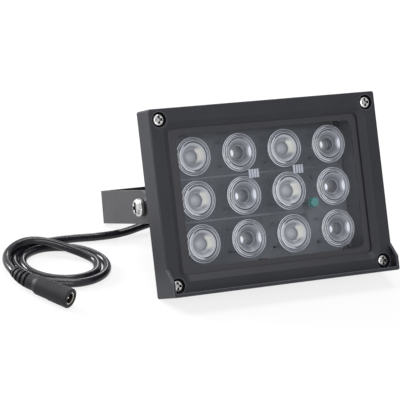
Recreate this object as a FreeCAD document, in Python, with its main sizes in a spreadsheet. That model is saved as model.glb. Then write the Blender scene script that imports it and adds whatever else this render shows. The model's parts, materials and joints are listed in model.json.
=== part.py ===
import FreeCAD, Part
import math
import os

import Sketcher

# Infrared illuminator: a die-cast lamp head with twelve emitters behind glass, tilting in a U bracket,
# with a short supply cord that ends in a low-voltage socket.
#
# Every piece of the head is drawn in the head's own frame: X to the right, Y from the front face to the
# back, Z up along the face, with the origin in the middle of the flat front face. The bracket is drawn
# about its pivot line. At the end both are leaned back onto the surface that the lamp stands on. The cord
# and its socket are drawn where they lie on that surface.

Vector = FreeCAD.Vector

# Driving dimensions, in millimetres and degrees.
SIZES = {
    # front bezel
    "bezel_width": 143.4,
    "bezel_height": 101.6,
    "bezel_depth": 13.6,
    "bezel_corner": 1.2,
    "bezel_edge_round": 0.6,
    "skirt_wall": 2.5,
    "face_thickness": 3.0,
    "frame_width_x": 11.5,
    "frame_width_z": 11.4,
    "window_corner": 2.8,
    "bevel_width": 3.7,
    "bevel_depth": 2.6,
    "hood_reach": 5.9,
    "hood_lip": 2.0,
    "hood_cheek": 1.5,
    "cheek_top": 15.3,
    "cheek_knee": 8.0,
    "bezel_screw_inset_x": 6.15,
    "bezel_screw_inset_z": 6.0,
    "counterbore_diameter": 8.6,
    "counterbore_depth": 2.8,
    # glass and its two gaskets
    "glass_overlap_x": 2.8,
    "glass_overlap_z": 3.1,
    "glass_thickness": 3.0,
    "glass_corner": 5.0,
    "glass_clearance": 0.3,
    "front_gasket": 0.5,
    "gasket_setback": 0.8,
    "gasket_edge_gap": 0.2,
    "rear_gasket": 1.5,
    # rear housing
    "flange_clearance": 0.3,
    "flange_thickness": 5.0,
    "flange_corner": 2.0,
    "cavity_inset_x": 1.2,
    "cavity_overrun_z": 0.1,
    "cavity_corner": 4.0,
    "housing_wall": 3.0,
    "floor_thickness": 3.5,
    "shell_edge_round": 3.0,
    "boss_diameter": 6.0,
    "boss_length": 3.0,
    "fin_count": 11,
    "fin_ear_gap": 7.5,
    "fin_thickness": 2.2,
    "fin_depth": 20.0,
    "fin_root_inset": 1.5,
    "fin_taper": 14.0,
    "fin_tip_round": 4.0,
    "ear_thickness": 6.0,
    "ear_height": 16.0,
    "ear_reach": 13.2,
    "ear_web_height": 5.0,
    "ear_web_reach": 10.0,
    "gland_pocket_width": 24.0,
    "gland_pocket_height": 28.0,
    "gland_boss_diameter": 19.0,
    "gland_boss_rise": 2.0,
    "gland_drop": 16.0,
    "lead_channel_width": 5.0,
    "lead_channel_depth": 2.0,
    # lamp board
    "board_clearance": 0.5,
    "board_thickness": 1.6,
    "board_corner": 3.0,
    "heat_pad_thickness": 0.4,
    "board_screw_inset": 3.4,
    "lead_notch_width": 6.0,
    "lead_notch_height": 3.2,
    # emitters and lenses
    "lens_columns": 4,
    "lens_rows": 3,
    "lens_margin_x": 1.4,
    "lens_margin_z": 3.8,
    "lens_gap": 1.0,
    "lens_height": 13.0,
    "lens_diameter": 21.0,
    "lens_flange": 1.5,
    "lens_flange_step": 1.1,
    "lens_face_diameter": 17.4,
    "lens_rim_drop": 0.5,
    "lens_well_mouth": 14.8,
    "lens_well_floor": 7.6,
    "lens_well_depth": 2.8,
    "lens_dome_rise": 0.8,
    "lens_dome_radius": 9.4,
    "lens_throat_diameter": 9.8,
    "lens_throat_clearance": 0.5,
    "lens_socket_diameter": 7.4,
    "lens_socket_depth": 4.2,
    "lens_flank_radius": 22.0,
    "lens_leg_diameter": 1.5,
    "lens_leg_offset": 6.4,
    "emitter_diameter": 8.0,
    "emitter_height": 1.9,
    "emitter_dome": 5.2,
    "emitter_tab_span": 9.6,
    "emitter_tab_width": 1.6,
    "emitter_tab_thickness": 0.4,
    # parts between the lenses
    "sensor_shift": 1.6,
    "sensor_drop": 7.9,
    "sensor_diameter": 5.0,
    "sensor_rim_diameter": 5.8,
    "sensor_rim_thickness": 1.0,
    "sensor_length": 3.0,
    "sensor_setback": 2.0,
    "sensor_lead_width": 0.5,
    "sensor_lead_pitch": 2.5,
    "resistor_width": 1.2,
    "resistor_length": 4.8,
    "resistor_thickness": 0.6,
    "resistor_pitch": 1.7,
    "resistor_count": 4,
    "chip_width": 5.0,
    "chip_length": 4.0,
    "chip_thickness": 1.5,
    "chip_lead_span": 6.2,
    "chip_lead_width": 0.45,
    "chip_lead_thickness": 0.3,
    "chip_lead_pitch": 1.27,
    "chip_drop": 16.5,
    # screws
    "bezel_screw_thread": 3.0,
    "bezel_screw_head": 7.4,
    "bezel_screw_head_height": 2.4,
    "bezel_screw_length": 12.0,
    "board_screw_thread": 2.5,
    "board_screw_head": 5.0,
    "board_screw_head_height": 1.6,
    "board_screw_bite": 2.2,
    "pivot_screw_thread": 5.0,
    "pivot_screw_head": 10.0,
    "pivot_screw_head_height": 3.0,
    "thread_clearance": 0.05,
    "hole_clearance": 0.2,
    "recess_arm_width": 0.2,
    "recess_span": 0.6,
    "recess_depth": 1.0,
    "head_rim_share": 0.4,
    "head_crown_share": 0.62,
    "head_crown_bulge": 0.85,
    # bracket and its pivots
    "strip_width": 18.5,
    "strip_thickness": 2.5,
    "bend_radius": 0.8,
    "bracket_inset": 9.7,
    "bracket_reach": 52.1,
    "bracket_swing": 3.8,
    "pivot_clearance": 0.08,
    "running_gap": 0.1,
    "friction_washer": 0.9,
    "friction_washer_diameter": 14.0,
    "lock_washer": 1.0,
    "lock_washer_diameter": 9.4,
    "base_hole": 8.5,
    "base_slot_width": 5.2,
    "base_slot_length": 14.0,
    "base_slot_spacing": 64.0,
    # cable gland
    "gland_bore": 12.0,
    "gland_thread_clearance": 0.05,
    "gland_stub": 3.0,
    "gland_passage": 5.4,
    "gland_hex": 15.0,
    "gland_hex_height": 4.5,
    "gland_ring": 0.8,
    "gland_ring_diameter": 15.6,
    "gland_collar": 10.0,
    "gland_collar_length": 8.0,
    "gland_collar_wall": 1.3,
    "gland_nut_hex_height": 6.5,
    "gland_nut_length": 12.0,
    "gland_nut_gap": 0.3,
    "gland_nut_top": 8.6,
    "gland_nut_cap": 2.6,
    "gland_nut_mouth": 5.8,
    # leads and cord
    "lead_diameter": 1.5,
    "lead_spacing": 1.7,
    "lead_clearance": 0.1,
    "lead_rise": 1.55,
    "cord_diameter": 4.6,
    "cord_lift": 0.05,
    "tail_first_run": 7.4,
    "coil_length": 50.0,
    "coil_width": 47.4,
    "coil_turns": 2,
    "coil_rounding": 1.8,
    # low-voltage socket on the cord's end
    "socket_diameter": 11.0,
    "socket_front_length": 12.0,
    "socket_rear_diameter": 10.6,
    "socket_barrel_length": 20.5,
    "socket_shoulder_length": 2.6,
    "socket_neck_diameter": 8.6,
    "socket_neck_length": 4.2,
    "socket_edge_round": 0.7,
    "socket_bore": 6.9,
    "socket_bore_depth": 12.0,
    "sleeve_wall": 0.5,
    "sleeve_recess": 0.5,
    "sleeve_clearance": 0.05,
    "pin_diameter": 2.0,
    "pin_recess": 1.5,
    "core_thickness": 2.5,
    "boot_length": 11.4,
    "boot_front_diameter": 8.4,
    "boot_tail_diameter": 6.6,
    "boot_core_diameter": 5.8,
    "boot_rib_count": 4,
    "boot_rib_gap": 1.3,
    "boot_rib_taper": 0.7,
    "boot_bend": 30.0,
}

# How far a cut runs past the material that it opens.
OVERRUN = 2.0


class Size:
    """A length or angle with its value and the formula, in sheet aliases, that gives it."""

    def __init__(self, value, text):
        self.value = value
        self.text = text

    def combined(self, other, sign, turned=False):
        other = as_size(other)
        first, second = (other, self) if turned else (self, other)
        value = {
            "+": lambda a, b: a + b,
            "-": lambda a, b: a - b,
            "*": lambda a, b: a * b,
            "/": lambda a, b: a / b,
        }[sign](first.value, second.value)
        return Size(value, f"({first.text} {sign} {second.text})")

    def __add__(self, other):
        return self.combined(other, "+")

    def __radd__(self, other):
        return self.combined(other, "+", True)

    def __sub__(self, other):
        return self.combined(other, "-")

    def __rsub__(self, other):
        return self.combined(other, "-", True)

    def __mul__(self, other):
        return self.combined(other, "*")

    def __rmul__(self, other):
        return self.combined(other, "*", True)

    def __truediv__(self, other):
        return self.combined(other, "/")

    def __neg__(self):
        return self.combined(-1, "*")


def as_size(number):
    return number if isinstance(number, Size) else Size(float(number), repr(number))


class Sheet:
    """The document's table of driving dimensions: each alias is an attribute that holds its Size."""

    def __init__(self, document, sizes):
        self.table = document.addObject("Spreadsheet::Sheet", "Sizes")
        for row, (alias, number) in enumerate(sizes.items(), start=1):
            self.table.set(f"A{row}", alias)
            self.table.set(f"B{row}", str(number))
            self.table.setAlias(f"B{row}", alias)
            setattr(self, alias, Size(float(number), f"Sizes.{alias}"))


class Outline:
    """A sketch on an origin plane of its body, at a level along the axis that the plane faces."""

    # Which way the level runs along the sketch's normal.
    NORMAL = {"XY": 1, "XZ": -1, "YZ": 1}

    def __init__(self, body, plane, level=0, at=(0, 0)):
        self.body = body
        self.plane = plane
        self.sketch = body.newObject("Sketcher::SketchObject", body.Name + "_sketch")
        origin = [o for o in body.Origin.OriginFeatures if o.Role == plane + "_Plane"][0]
        self.sketch.AttachmentSupport = (origin, "")
        self.sketch.MapMode = "FlatFace"
        shift = (at[0], at[1], self.NORMAL[plane] * as_size(level))
        for axis, size in zip("xyz", shift):
            if as_size(size).text != "0":
                self.sketch.setExpression("AttachmentOffset.Base." + axis, as_size(size).text)

    def measure(self, kind, where, size):
        index = self.sketch.addConstraint(Sketcher.Constraint(kind, *where, size.value))
        self.sketch.setExpression(f"Constraints[{index}]", size.text)

    def pin(self, geometry, point, x, y):
        """Holds a point of the geometry at x, y. A plain zero puts it on the sketch's axis."""
        for kind, axis, size in (("DistanceX", -2, x), ("DistanceY", -1, y)):
            size = as_size(size)
            if size.text == "0":
                self.sketch.addConstraint(Sketcher.Constraint("PointOnObject", geometry, point, axis))
            else:
                self.measure(kind, (-1, 1, geometry, point), size)

    def circle(self, x, y, diameter):
        diameter = as_size(diameter)
        centre = Vector(as_size(x).value, as_size(y).value, 0)
        shape = Part.Circle(centre, Vector(0, 0, 1), diameter.value / 2)
        index = self.sketch.addGeometry(shape)
        self.pin(index, 3, x, y)
        self.measure("Diameter", (index,), diameter)
        return self

    def profile(self, points):
        """A closed outline. A point (x, y, radius) starts an arc to the next point: with the radius
        above zero the arc's centre is on the left of the way there, below zero on the right."""
        ends = []
        for index, point in enumerate(points):
            following = points[(index + 1) % len(points)]
            a = Vector(as_size(point[0]).value, as_size(point[1]).value, 0)
            b = Vector(as_size(following[0]).value, as_size(following[1]).value, 0)
            if len(point) == 2:
                edge = self.sketch.addGeometry(Part.LineSegment(a, b))
                ends.append((edge, 1, 2))
                continue
            radius = as_size(point[2])
            left = radius.value > 0
            chord = b - a
            height = math.sqrt(max(radius.value**2 - (chord.Length / 2) ** 2, 0.0))
            rise = Vector(-chord.y, chord.x, 0).normalize() * (height if left else -height)
            centre = (a + b) * 0.5 + rise
            first, last = (a, b) if left else (b, a)
            start = math.atan2(first.y - centre.y, first.x - centre.x)
            stop = math.atan2(last.y - centre.y, last.x - centre.x)
            circle = Part.Circle(centre, Vector(0, 0, 1), abs(radius.value))
            edge = self.sketch.addGeometry(Part.ArcOfCircle(circle, start, stop))
            ends.append((edge, 1, 2) if left else (edge, 2, 1))
            if rise.Length < 1e-6:
                # A half circle is held by its centre, beside its ends.
                upright = abs(chord.x) < 1e-6
                kind, size = ("DistanceX", point[0]) if upright else ("DistanceY", point[1])
                self.measure(kind, (-1, 1, edge, 3), as_size(size))
            else:
                self.measure("Radius", (edge,), radius if left else -radius)
        for index, point in enumerate(points):
            edge, start, stop = ends[index]
            following = ends[(index + 1) % len(points)]
            joined = (edge, stop, following[0], following[1])
            self.sketch.addConstraint(Sketcher.Constraint("Coincident", *joined))
            self.pin(edge, start, point[0], point[1])
        return self

    def rectangle(self, width, height, centre=(0, 0)):
        right, top = as_size(width) / 2, as_size(height) / 2
        x, y = centre
        corners = ((-1, -1), (1, -1), (1, 1), (-1, 1))
        return self.profile([(right * i + x, top * j + y) for i, j in corners])

    def rounded_rectangle(self, width, height, radius, centre=(0, 0)):
        x, y = centre
        right, top = as_size(width) / 2, as_size(height) / 2
        across, up = right - radius, top - radius
        radius = as_size(radius)
        return self.profile(
            [
                (x - across, y - top),
                (x + across, y - top, radius),
                (x + right, y - up),
                (x + right, y + up, radius),
                (x + across, y + top),
                (x - across, y + top, radius),
                (x - right, y + up),
                (x - right, y - up, radius),
            ]
        )

    def slot(self, length, width, centre=(0, 0)):
        """A slot along x with half-round ends."""
        x, y = centre
        half = as_size(width) / 2
        reach = as_size(length) / 2 - half
        return self.profile(
            [
                (x - reach, y - half),
                (x + reach, y - half, half),
                (x + reach, y + half),
                (x - reach, y + half, half),
            ]
        )


def feature(kind, outline):
    made = outline.body.newObject("PartDesign::" + kind, f"{outline.body.Name}_{kind.lower()}")
    made.Profile = outline.sketch
    return made


def pad(outline, length):
    """Adds material from the outline's level, along the axis that its plane faces."""
    made = feature("Pad", outline)
    made.Reversed = outline.plane == "XZ"
    made.setExpression("Length", as_size(length).text)
    return made


def pocket(outline, depth):
    """Cuts from the outline's level, along the axis that its plane faces."""
    document.recompute()
    before = outline.body.Shape.Volume
    made = feature("Pocket", outline)
    made.Reversed = outline.plane != "XZ"
    made.setExpression("Length", as_size(depth).text)
    document.recompute()
    if not outline.body.Shape.Volume < before:
        raise RuntimeError(made.Name + " cuts nothing")
    return made


def revolve(outline, axis="V_Axis"):
    made = feature("Revolution", outline)
    made.ReferenceAxis = (outline.sketch, [axis])
    made.Angle = 360.0
    return made


def axis_of(body, name):
    return [o for o in body.Origin.OriginFeatures if o.Role == name][0]


def repeat(body, original, direction, count, span):
    """A row of copies of a feature along an origin axis."""
    row = body.newObject("PartDesign::LinearPattern", body.Name + "_row")
    row.Originals = [original]
    row.Direction = (axis_of(body, direction), [""])
    row.setExpression("Length", as_size(span).text)
    row.setExpression("Occurrences", as_size(count).text)
    body.Tip = row
    return row


def mirror(body, originals, plane="YZ_Plane"):
    copy = body.newObject("PartDesign::Mirrored", body.Name + "_mirror")
    copy.Originals = originals
    copy.MirrorPlane = (axis_of(body, plane), [""])
    body.Tip = copy
    return copy


def edges_of(shape, chosen):
    return [f"Edge{i}" for i, edge in enumerate(shape.Edges, start=1) if chosen(edge)]


def middle(edge):
    return edge.valueAt((edge.FirstParameter + edge.LastParameter) / 2)


def runs_along(edge, direction):
    if not isinstance(edge.Curve, Part.Line):
        return False
    return abs(abs(edge.Curve.Direction.dot(direction)) - 1) < 1e-6


def dress(body, kind, size, chosen, prop):
    document.recompute()
    base = body.Tip
    names = edges_of(base.Shape, chosen)
    if not names:
        raise RuntimeError(f"{body.Name}: no edge to {kind.lower()}")
    made = body.newObject("PartDesign::" + kind, f"{body.Name}_{kind.lower()}")
    made.Base = (base, names)
    made.setExpression(prop, as_size(size).text)
    return made


def fillet(body, radius, chosen):
    return dress(body, "Fillet", radius, chosen, "Radius")


def new_body(name, several=False):
    body = document.addObject("PartDesign::Body", name)
    body.Label = name
    body.AllowCompound = several
    return body


document = FreeCAD.newDocument("infrared_illuminator")
D = Sheet(document, SIZES)
document.recompute()

# Levels from the front face (y = 0) to the back, each piece seated on the one before it.
glass_front = D.face_thickness + D.front_gasket
glass_back = glass_front + D.glass_thickness
seat_level = glass_back + D.rear_gasket
flange_back = seat_level + D.flange_thickness
lens_front = glass_back + D.lens_gap
board_front = lens_front + D.lens_height
board_back = board_front + D.board_thickness
floor_level = board_back + D.heat_pad_thickness
shell_back = floor_level + D.floor_thickness
# Where what stands on the shell's back is rooted, halfway through its floor.
root_level = shell_back - D.floor_thickness / 2
pivot_level = shell_back + D.ear_reach

# Outlines that more than one piece takes its size from.
window_width = D.bezel_width - 2 * D.frame_width_x
window_height = D.bezel_height - 2 * D.frame_width_z
glass_width = window_width + 2 * D.glass_overlap_x
glass_height = window_height + 2 * D.glass_overlap_z
cavity_width = window_width - 2 * D.cavity_inset_x
cavity_height = window_height + 2 * D.cavity_overrun_z
bowl_width = cavity_width + 2 * D.housing_wall
bowl_height = cavity_height + 2 * D.housing_wall
lens_pitch_x = (cavity_width - 2 * D.lens_margin_x) / D.lens_columns
lens_pitch_z = (cavity_height - 2 * D.lens_margin_z) / D.lens_rows
bezel_screw_x = D.bezel_width / 2 - D.bezel_screw_inset_x
bezel_screw_z = D.bezel_height / 2 - D.bezel_screw_inset_z
board_width = cavity_width - 2 * D.board_clearance
board_height = cavity_height - 2 * D.board_clearance
board_screw_x = board_width / 2 - D.board_screw_inset
board_screw_z = board_height / 2 - D.board_screw_inset
bracket_width = D.bezel_width - 2 * D.bracket_inset
ear_outer = bracket_width / 2 - D.strip_thickness - D.running_gap - D.friction_washer
ear_inner = ear_outer - D.ear_thickness
sensor_x = lens_pitch_x + D.sensor_shift
washer_inner = bracket_width / 2 + D.running_gap
head_seat = washer_inner + D.lock_washer


def four_corners(x, z):
    return [(x * i, z * j) for i in (-1, 1) for j in (-1, 1)]


def front_bezel():
    """The face plate with its bevelled window, the skirt around the housing and the hood below."""
    body = new_body("front_bezel")
    half_width, half_height = D.bezel_width / 2, D.bezel_height / 2
    block = Outline(body, "XZ", -D.hood_reach)
    block.rounded_rectangle(D.bezel_width, D.bezel_height, D.bezel_corner)
    pad(block, D.hood_reach + D.bezel_depth)

    # The hood's cheeks slope from the face down to a knee and drop to the lip.
    ahead = -D.hood_reach - OVERRUN
    above = half_height + OVERRUN
    knee, cheek_end = D.cheek_knee - half_height, D.cheek_top - half_height
    side = Outline(body, "YZ", -half_width - OVERRUN)
    side.profile([(0, above), (ahead, above), (ahead, knee), (-D.hood_reach, knee), (0, cheek_end)])
    pocket(side, D.bezel_width + 2 * OVERRUN)
    hollow = Outline(body, "XZ", ahead)
    opening_width = D.bezel_width - 2 * D.hood_cheek
    hollow.rectangle(opening_width, D.bezel_height - D.hood_lip + OVERRUN, (0, (D.hood_lip + OVERRUN) / 2))
    pocket(hollow, D.hood_reach + OVERRUN)

    window = Outline(body, "XZ", -OVERRUN)
    window.rounded_rectangle(window_width, window_height, D.window_corner)
    pocket(window, D.face_thickness + 2 * OVERRUN)

    def rims_window(edge):
        box = edge.BoundBox
        inside = max(abs(box.XMin), abs(box.XMax)) < window_width.value / 2 + 0.01
        inside = inside and max(abs(box.ZMin), abs(box.ZMax)) < window_height.value / 2 + 0.01
        return inside and abs(box.YMin) < 1e-3 and abs(box.YMax) < 1e-3

    bevel = dress(body, "Chamfer", D.bevel_width, rims_window, "Size")
    bevel.ChamferType = "Two distances"
    bevel.setExpression("Size2", D.bevel_depth.text)
    bevel.FlipDirection = False

    glass_seat = Outline(body, "XZ", D.face_thickness)
    gap = D.glass_clearance
    glass_seat.rounded_rectangle(glass_width + 2 * gap, glass_height + 2 * gap, D.glass_corner + gap)
    pocket(glass_seat, D.bezel_depth)
    inside = Outline(body, "XZ", seat_level)
    inner_width, inner_height = D.bezel_width - 2 * D.skirt_wall, D.bezel_height - 2 * D.skirt_wall
    inside.rounded_rectangle(inner_width, inner_height, D.flange_corner + D.flange_clearance)
    pocket(inside, D.bezel_depth)

    for depth, diameter in (
        (D.counterbore_depth, D.counterbore_diameter),
        (D.bezel_depth, D.bezel_screw_thread + 2 * D.hole_clearance),
    ):
        holes = Outline(body, "XZ", -OVERRUN)
        for x, z in four_corners(bezel_screw_x, bezel_screw_z):
            holes.circle(x, z, diameter)
        pocket(holes, depth + OVERRUN)

    def rims_face(edge):
        box = edge.BoundBox
        level = abs(box.YMin) < 1e-3 and abs(box.YMax) < 1e-3
        side = abs(abs(middle(edge).x) - half_width.value) < 1 or middle(edge).z > half_height.value - 1
        return level and side

    fillet(body, D.bezel_edge_round, rims_face)
    return body


def frame_gasket(name, level, thickness, inner_width, inner_height, inner_corner):
    """A flat rectangular gasket under the rim of the glass."""
    body = new_body(name)
    outer = Outline(body, "XZ", level)
    gap = D.gasket_edge_gap
    outer.rounded_rectangle(glass_width - 2 * gap, glass_height - 2 * gap, D.glass_corner - gap)
    outer.rounded_rectangle(inner_width, inner_height, inner_corner)
    pad(outer, thickness)
    return body


def front_glass():
    body = new_body("front_glass")
    pane = Outline(body, "XZ", glass_front).rounded_rectangle(glass_width, glass_height, D.glass_corner)
    pad(pane, D.glass_thickness)
    return body


def rear_housing():
    """The die-cast shell: flange, bowl, cooling fins, pivot ears and the seat of the cable gland."""
    body = new_body("rear_housing")
    inset = 2 * (D.skirt_wall + D.flange_clearance)
    flange = Outline(body, "XZ", seat_level)
    flange.rounded_rectangle(D.bezel_width - inset, D.bezel_height - inset, D.flange_corner)
    pad(flange, D.flange_thickness)
    bowl = Outline(body, "XZ", seat_level)
    corner = D.cavity_corner + D.housing_wall
    bowl.rounded_rectangle(bowl_width, bowl_height, corner)
    pad(bowl, shell_back - seat_level)

    def rims_back(edge):
        return abs(edge.BoundBox.YMin - shell_back.value) < 1e-3

    fillet(body, D.shell_edge_round, rims_back)

    bosses = Outline(body, "XZ", flange_back)
    for x, z in four_corners(bezel_screw_x, bezel_screw_z):
        bosses.circle(x, z, D.boss_diameter)
    pad(bosses, D.boss_length)

    # Cooling fins: an upright blade that narrows to its rounded tip, repeated across the back.
    fin_span = 2 * (ear_inner - D.fin_ear_gap)
    fin_tip = shell_back + D.fin_depth
    root = bowl_height / 2 - D.fin_root_inset
    tip = root - D.fin_taper
    fin = Outline(body, "YZ", (-fin_span - D.fin_thickness) / 2)
    fin.profile(
        [
            (root_level, -root),
            (shell_back, -root),
            (fin_tip, -tip),
            (fin_tip, tip),
            (shell_back, root),
            (root_level, root),
        ]
    )
    blade = pad(fin, D.fin_thickness)
    repeat(body, blade, "X_Axis", D.fin_count, fin_span)

    def rims_fin_tip(edge):
        box = edge.BoundBox
        at_tip = abs(box.YMin - fin_tip.value) < 1e-3 and abs(box.YMax - fin_tip.value) < 1e-3
        return at_tip and runs_along(edge, Vector(1, 0, 0))

    fillet(body, D.fin_tip_round, rims_fin_tip)

    # The fins stop short around the cable gland, which sits on a round boss.
    clearing = Outline(body, "XZ", shell_back)
    clearing.rectangle(D.gland_pocket_width, D.gland_pocket_height, (0, -D.gland_drop))
    pocket(clearing, D.fin_depth + OVERRUN)
    seat = Outline(body, "XZ", root_level).circle(0, -D.gland_drop, D.gland_boss_diameter)
    pad(seat, shell_back + D.gland_boss_rise - root_level)

    # Pivot ears, each tied to the outermost fin by a web.
    half_ear = D.ear_height / 2
    ear = Outline(body, "YZ", ear_inner)
    ear.profile(
        [
            (root_level, -half_ear),
            (pivot_level, -half_ear, half_ear),
            (pivot_level, half_ear),
            (root_level, half_ear),
        ]
    )
    ear_pad = pad(ear, D.ear_thickness)
    web = Outline(body, "XZ", root_level)
    web_start = fin_span / 2
    web_width = ear_inner - web_start + D.ear_thickness / 2
    web.rectangle(web_width, D.ear_web_height, (web_start + web_width / 2, 0))
    web_pad = pad(web, shell_back + D.ear_web_reach - root_level)
    bore = Outline(body, "YZ", ear_inner - D.thread_clearance)
    bore.circle(pivot_level, 0, D.pivot_screw_thread + 2 * D.thread_clearance)
    bore_cut = pocket(bore, D.ear_thickness + OVERRUN)
    mirror(body, [ear_pad, web_pad, bore_cut])

    cavity = Outline(body, "XZ", seat_level - OVERRUN)
    cavity.rounded_rectangle(cavity_width, cavity_height, D.cavity_corner)
    pocket(cavity, floor_level - seat_level + OVERRUN)
    channel = Outline(body, "XZ", floor_level - OVERRUN)
    channel_end = board_height / 2
    channel_height = channel_end - D.gland_drop
    channel.rectangle(D.lead_channel_width, channel_height, (0, -(channel_end + D.gland_drop) / 2))
    pocket(channel, D.lead_channel_depth + OVERRUN)
    passage = Outline(body, "XZ", floor_level - OVERRUN).circle(0, -D.gland_drop, D.gland_bore)
    pocket(passage, D.floor_thickness + D.gland_boss_rise + 2 * OVERRUN)

    bezel_holes = Outline(body, "XZ", seat_level - OVERRUN)
    for x, z in four_corners(bezel_screw_x, bezel_screw_z):
        bezel_holes.circle(x, z, D.bezel_screw_thread + 2 * D.thread_clearance)
    pocket(bezel_holes, D.flange_thickness + D.boss_length + 2 * OVERRUN)
    board_holes = Outline(body, "XZ", floor_level - OVERRUN)
    for x, z in four_corners(board_screw_x, board_screw_z):
        board_holes.circle(x, z, D.board_screw_thread + 2 * D.thread_clearance)
    pocket(board_holes, D.board_screw_bite + D.hole_clearance + OVERRUN)
    return body


def board_sheet(name, level, thickness):
    """A sheet of the lamp board's outline, with its four screw holes and the notch for the leads."""
    body = new_body(name)
    sheet = Outline(body, "XZ", level)
    sheet.rounded_rectangle(board_width, board_height, D.board_corner)
    for x, z in four_corners(board_screw_x, board_screw_z):
        sheet.circle(x, z, D.board_screw_thread + 2 * D.hole_clearance)
    pad(sheet, thickness)
    notch = Outline(body, "XZ", level - OVERRUN)
    notch_height = D.lead_notch_height + OVERRUN
    middle_height = (D.lead_notch_height - OVERRUN) / 2 - board_height / 2
    notch.rectangle(D.lead_notch_width, notch_height, (0, middle_height))
    pocket(notch, thickness + 2 * OVERRUN)
    return body


def emitter(name, x, z):
    """A surface-mounted emitter: a round base on two solder tabs, with a domed window."""
    body = new_body(name)
    base, dome = D.emitter_diameter / 2, D.emitter_dome / 2
    top = board_front - D.emitter_height
    turned = Outline(body, "XY", z, (x, 0))
    turned.profile([(0, board_front), (base, board_front), (base, top), (dome, top, -dome), (0, top - dome)])
    revolve(turned)
    tabs = Outline(body, "XZ", board_front - D.emitter_tab_thickness)
    tabs.rectangle(D.emitter_tab_span, D.emitter_tab_width, (x, z))
    pad(tabs, D.emitter_tab_thickness)
    return body


def lens(name, x, z):
    """A moulded collimating lens: a flanged cone with a domed bowl in front, a socket over the emitter
    and four legs that stand on the board."""
    body = new_body(name)
    rim, throat = D.lens_diameter / 2, D.lens_throat_diameter / 2
    mouth, floor = D.lens_well_mouth / 2, D.lens_well_floor / 2
    socket, well_floor = D.lens_socket_diameter / 2, lens_front + D.lens_well_depth
    face, rim_front = D.lens_face_diameter / 2, lens_front + D.lens_rim_drop
    flange = rim_front + D.lens_flange
    throat_level = board_front - D.emitter_height - D.lens_throat_clearance
    turned = Outline(body, "XY", z, (x, 0))
    turned.profile(
        [
            (0, well_floor - D.lens_dome_rise, D.lens_dome_radius),
            (floor, well_floor),
            (mouth, lens_front),
            (face, lens_front),
            (face, rim_front),
            (rim, rim_front),
            (rim, flange),
            (rim - D.lens_flange_step, flange, D.lens_flank_radius),
            (throat, throat_level),
            (socket, throat_level),
            (socket, throat_level - D.lens_socket_depth),
            (0, throat_level - D.lens_socket_depth),
        ]
    )
    revolve(turned)
    legs = Outline(body, "XZ", lens_front + D.lens_flange / 2)
    for i, j in four_corners(D.lens_leg_offset, D.lens_leg_offset):
        legs.circle(x + i, z + j, D.lens_leg_diameter)
    pad(legs, D.lens_height - D.lens_flange / 2)
    return body


def lens_places():
    """The row, the column and the centre of each emitter and its lens, from the top left."""
    for row in range(int(D.lens_rows.value)):
        for column in range(int(D.lens_columns.value)):
            x = (column - (D.lens_columns - 1) / 2) * lens_pitch_x
            z = ((D.lens_rows - 1) / 2 - row) * lens_pitch_z
            yield row + 1, column + 1, x, z


def light_sensor():
    """The photocell that switches the lamp on at dusk, on two leads of its own."""
    body = new_body("light_sensor")
    face = glass_back + D.sensor_setback
    back = face + D.sensor_length
    bulb, rim = D.sensor_diameter / 2, D.sensor_rim_diameter / 2
    turned = Outline(body, "XY", -D.sensor_drop, (sensor_x, 0))
    shoulder = back - D.sensor_rim_thickness
    turned.profile([(0, face), (bulb, face), (bulb, shoulder), (rim, shoulder), (rim, back), (0, back)])
    revolve(turned)
    leads = Outline(body, "XZ", back - D.sensor_rim_thickness / 2)
    for side in (-1, 1):
        place = (sensor_x + side * D.sensor_lead_pitch / 2, -D.sensor_drop)
        leads.rectangle(D.sensor_lead_width, D.sensor_lead_width, place)
    pad(leads, board_front - back + D.sensor_rim_thickness / 2)
    return body


def current_resistors():
    """Two groups of chip resistors between the columns of lenses."""
    body = new_body("current_resistors", several=True)
    rows = Outline(body, "XZ", board_front - D.resistor_thickness)
    for column in (0, 1):
        for index in range(int(D.resistor_count.value)):
            across = (index - (D.resistor_count - 1) / 2) * D.resistor_pitch
            centre = (column * lens_pitch_x + across, lens_pitch_z / 2)
            rows.rectangle(D.resistor_width, D.resistor_length, centre)
    pad(rows, D.resistor_thickness)
    return body


def control_chip():
    """The driver chip, with four leads on each side."""
    body = new_body("control_chip")
    package = Outline(body, "XZ", board_front - D.chip_thickness)
    package.rectangle(D.chip_width, D.chip_length, (lens_pitch_x, -D.chip_drop))
    pad(package, D.chip_thickness)
    leads = Outline(body, "XZ", board_front - D.chip_lead_thickness)
    for step in (-1.5, -0.5, 0.5, 1.5):
        centre = (lens_pitch_x + step * D.chip_lead_pitch, -D.chip_drop)
        leads.rectangle(D.chip_lead_width, D.chip_lead_span, centre)
    pad(leads, D.chip_lead_thickness)
    return body


def screw_outline(seat, out, thread, head, height, length):
    """Half the section of a pan-head screw as (along, radius) points. Its head stands on the seat and
    points the way of out, which is 1 or -1."""
    shank, rim = thread / 2, head / 2
    return [
        (seat - out * length, 0),
        (seat - out * length, shank),
        (seat, shank),
        (seat, rim),
        (seat + out * height * D.head_rim_share, rim, -height * D.head_crown_bulge),
        (seat + out * height, rim * D.head_crown_share),
        (seat + out * height, 0),
    ]


def driver_recess(outline, x, y, head):
    """The outline of a cross recess in a screw head."""
    arm, reach = head * D.recess_arm_width / 2, head * D.recess_span / 2
    corners = []
    for i, j in ((1, 1), (-1, 1), (-1, -1), (1, -1)):
        turn = [(reach * i, arm * j), (arm * i, arm * j), (arm * i, reach * j)]
        corners += turn if i * j > 0 else turn[::-1]
    outline.profile([(x + i, y + j) for i, j in corners])


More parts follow.
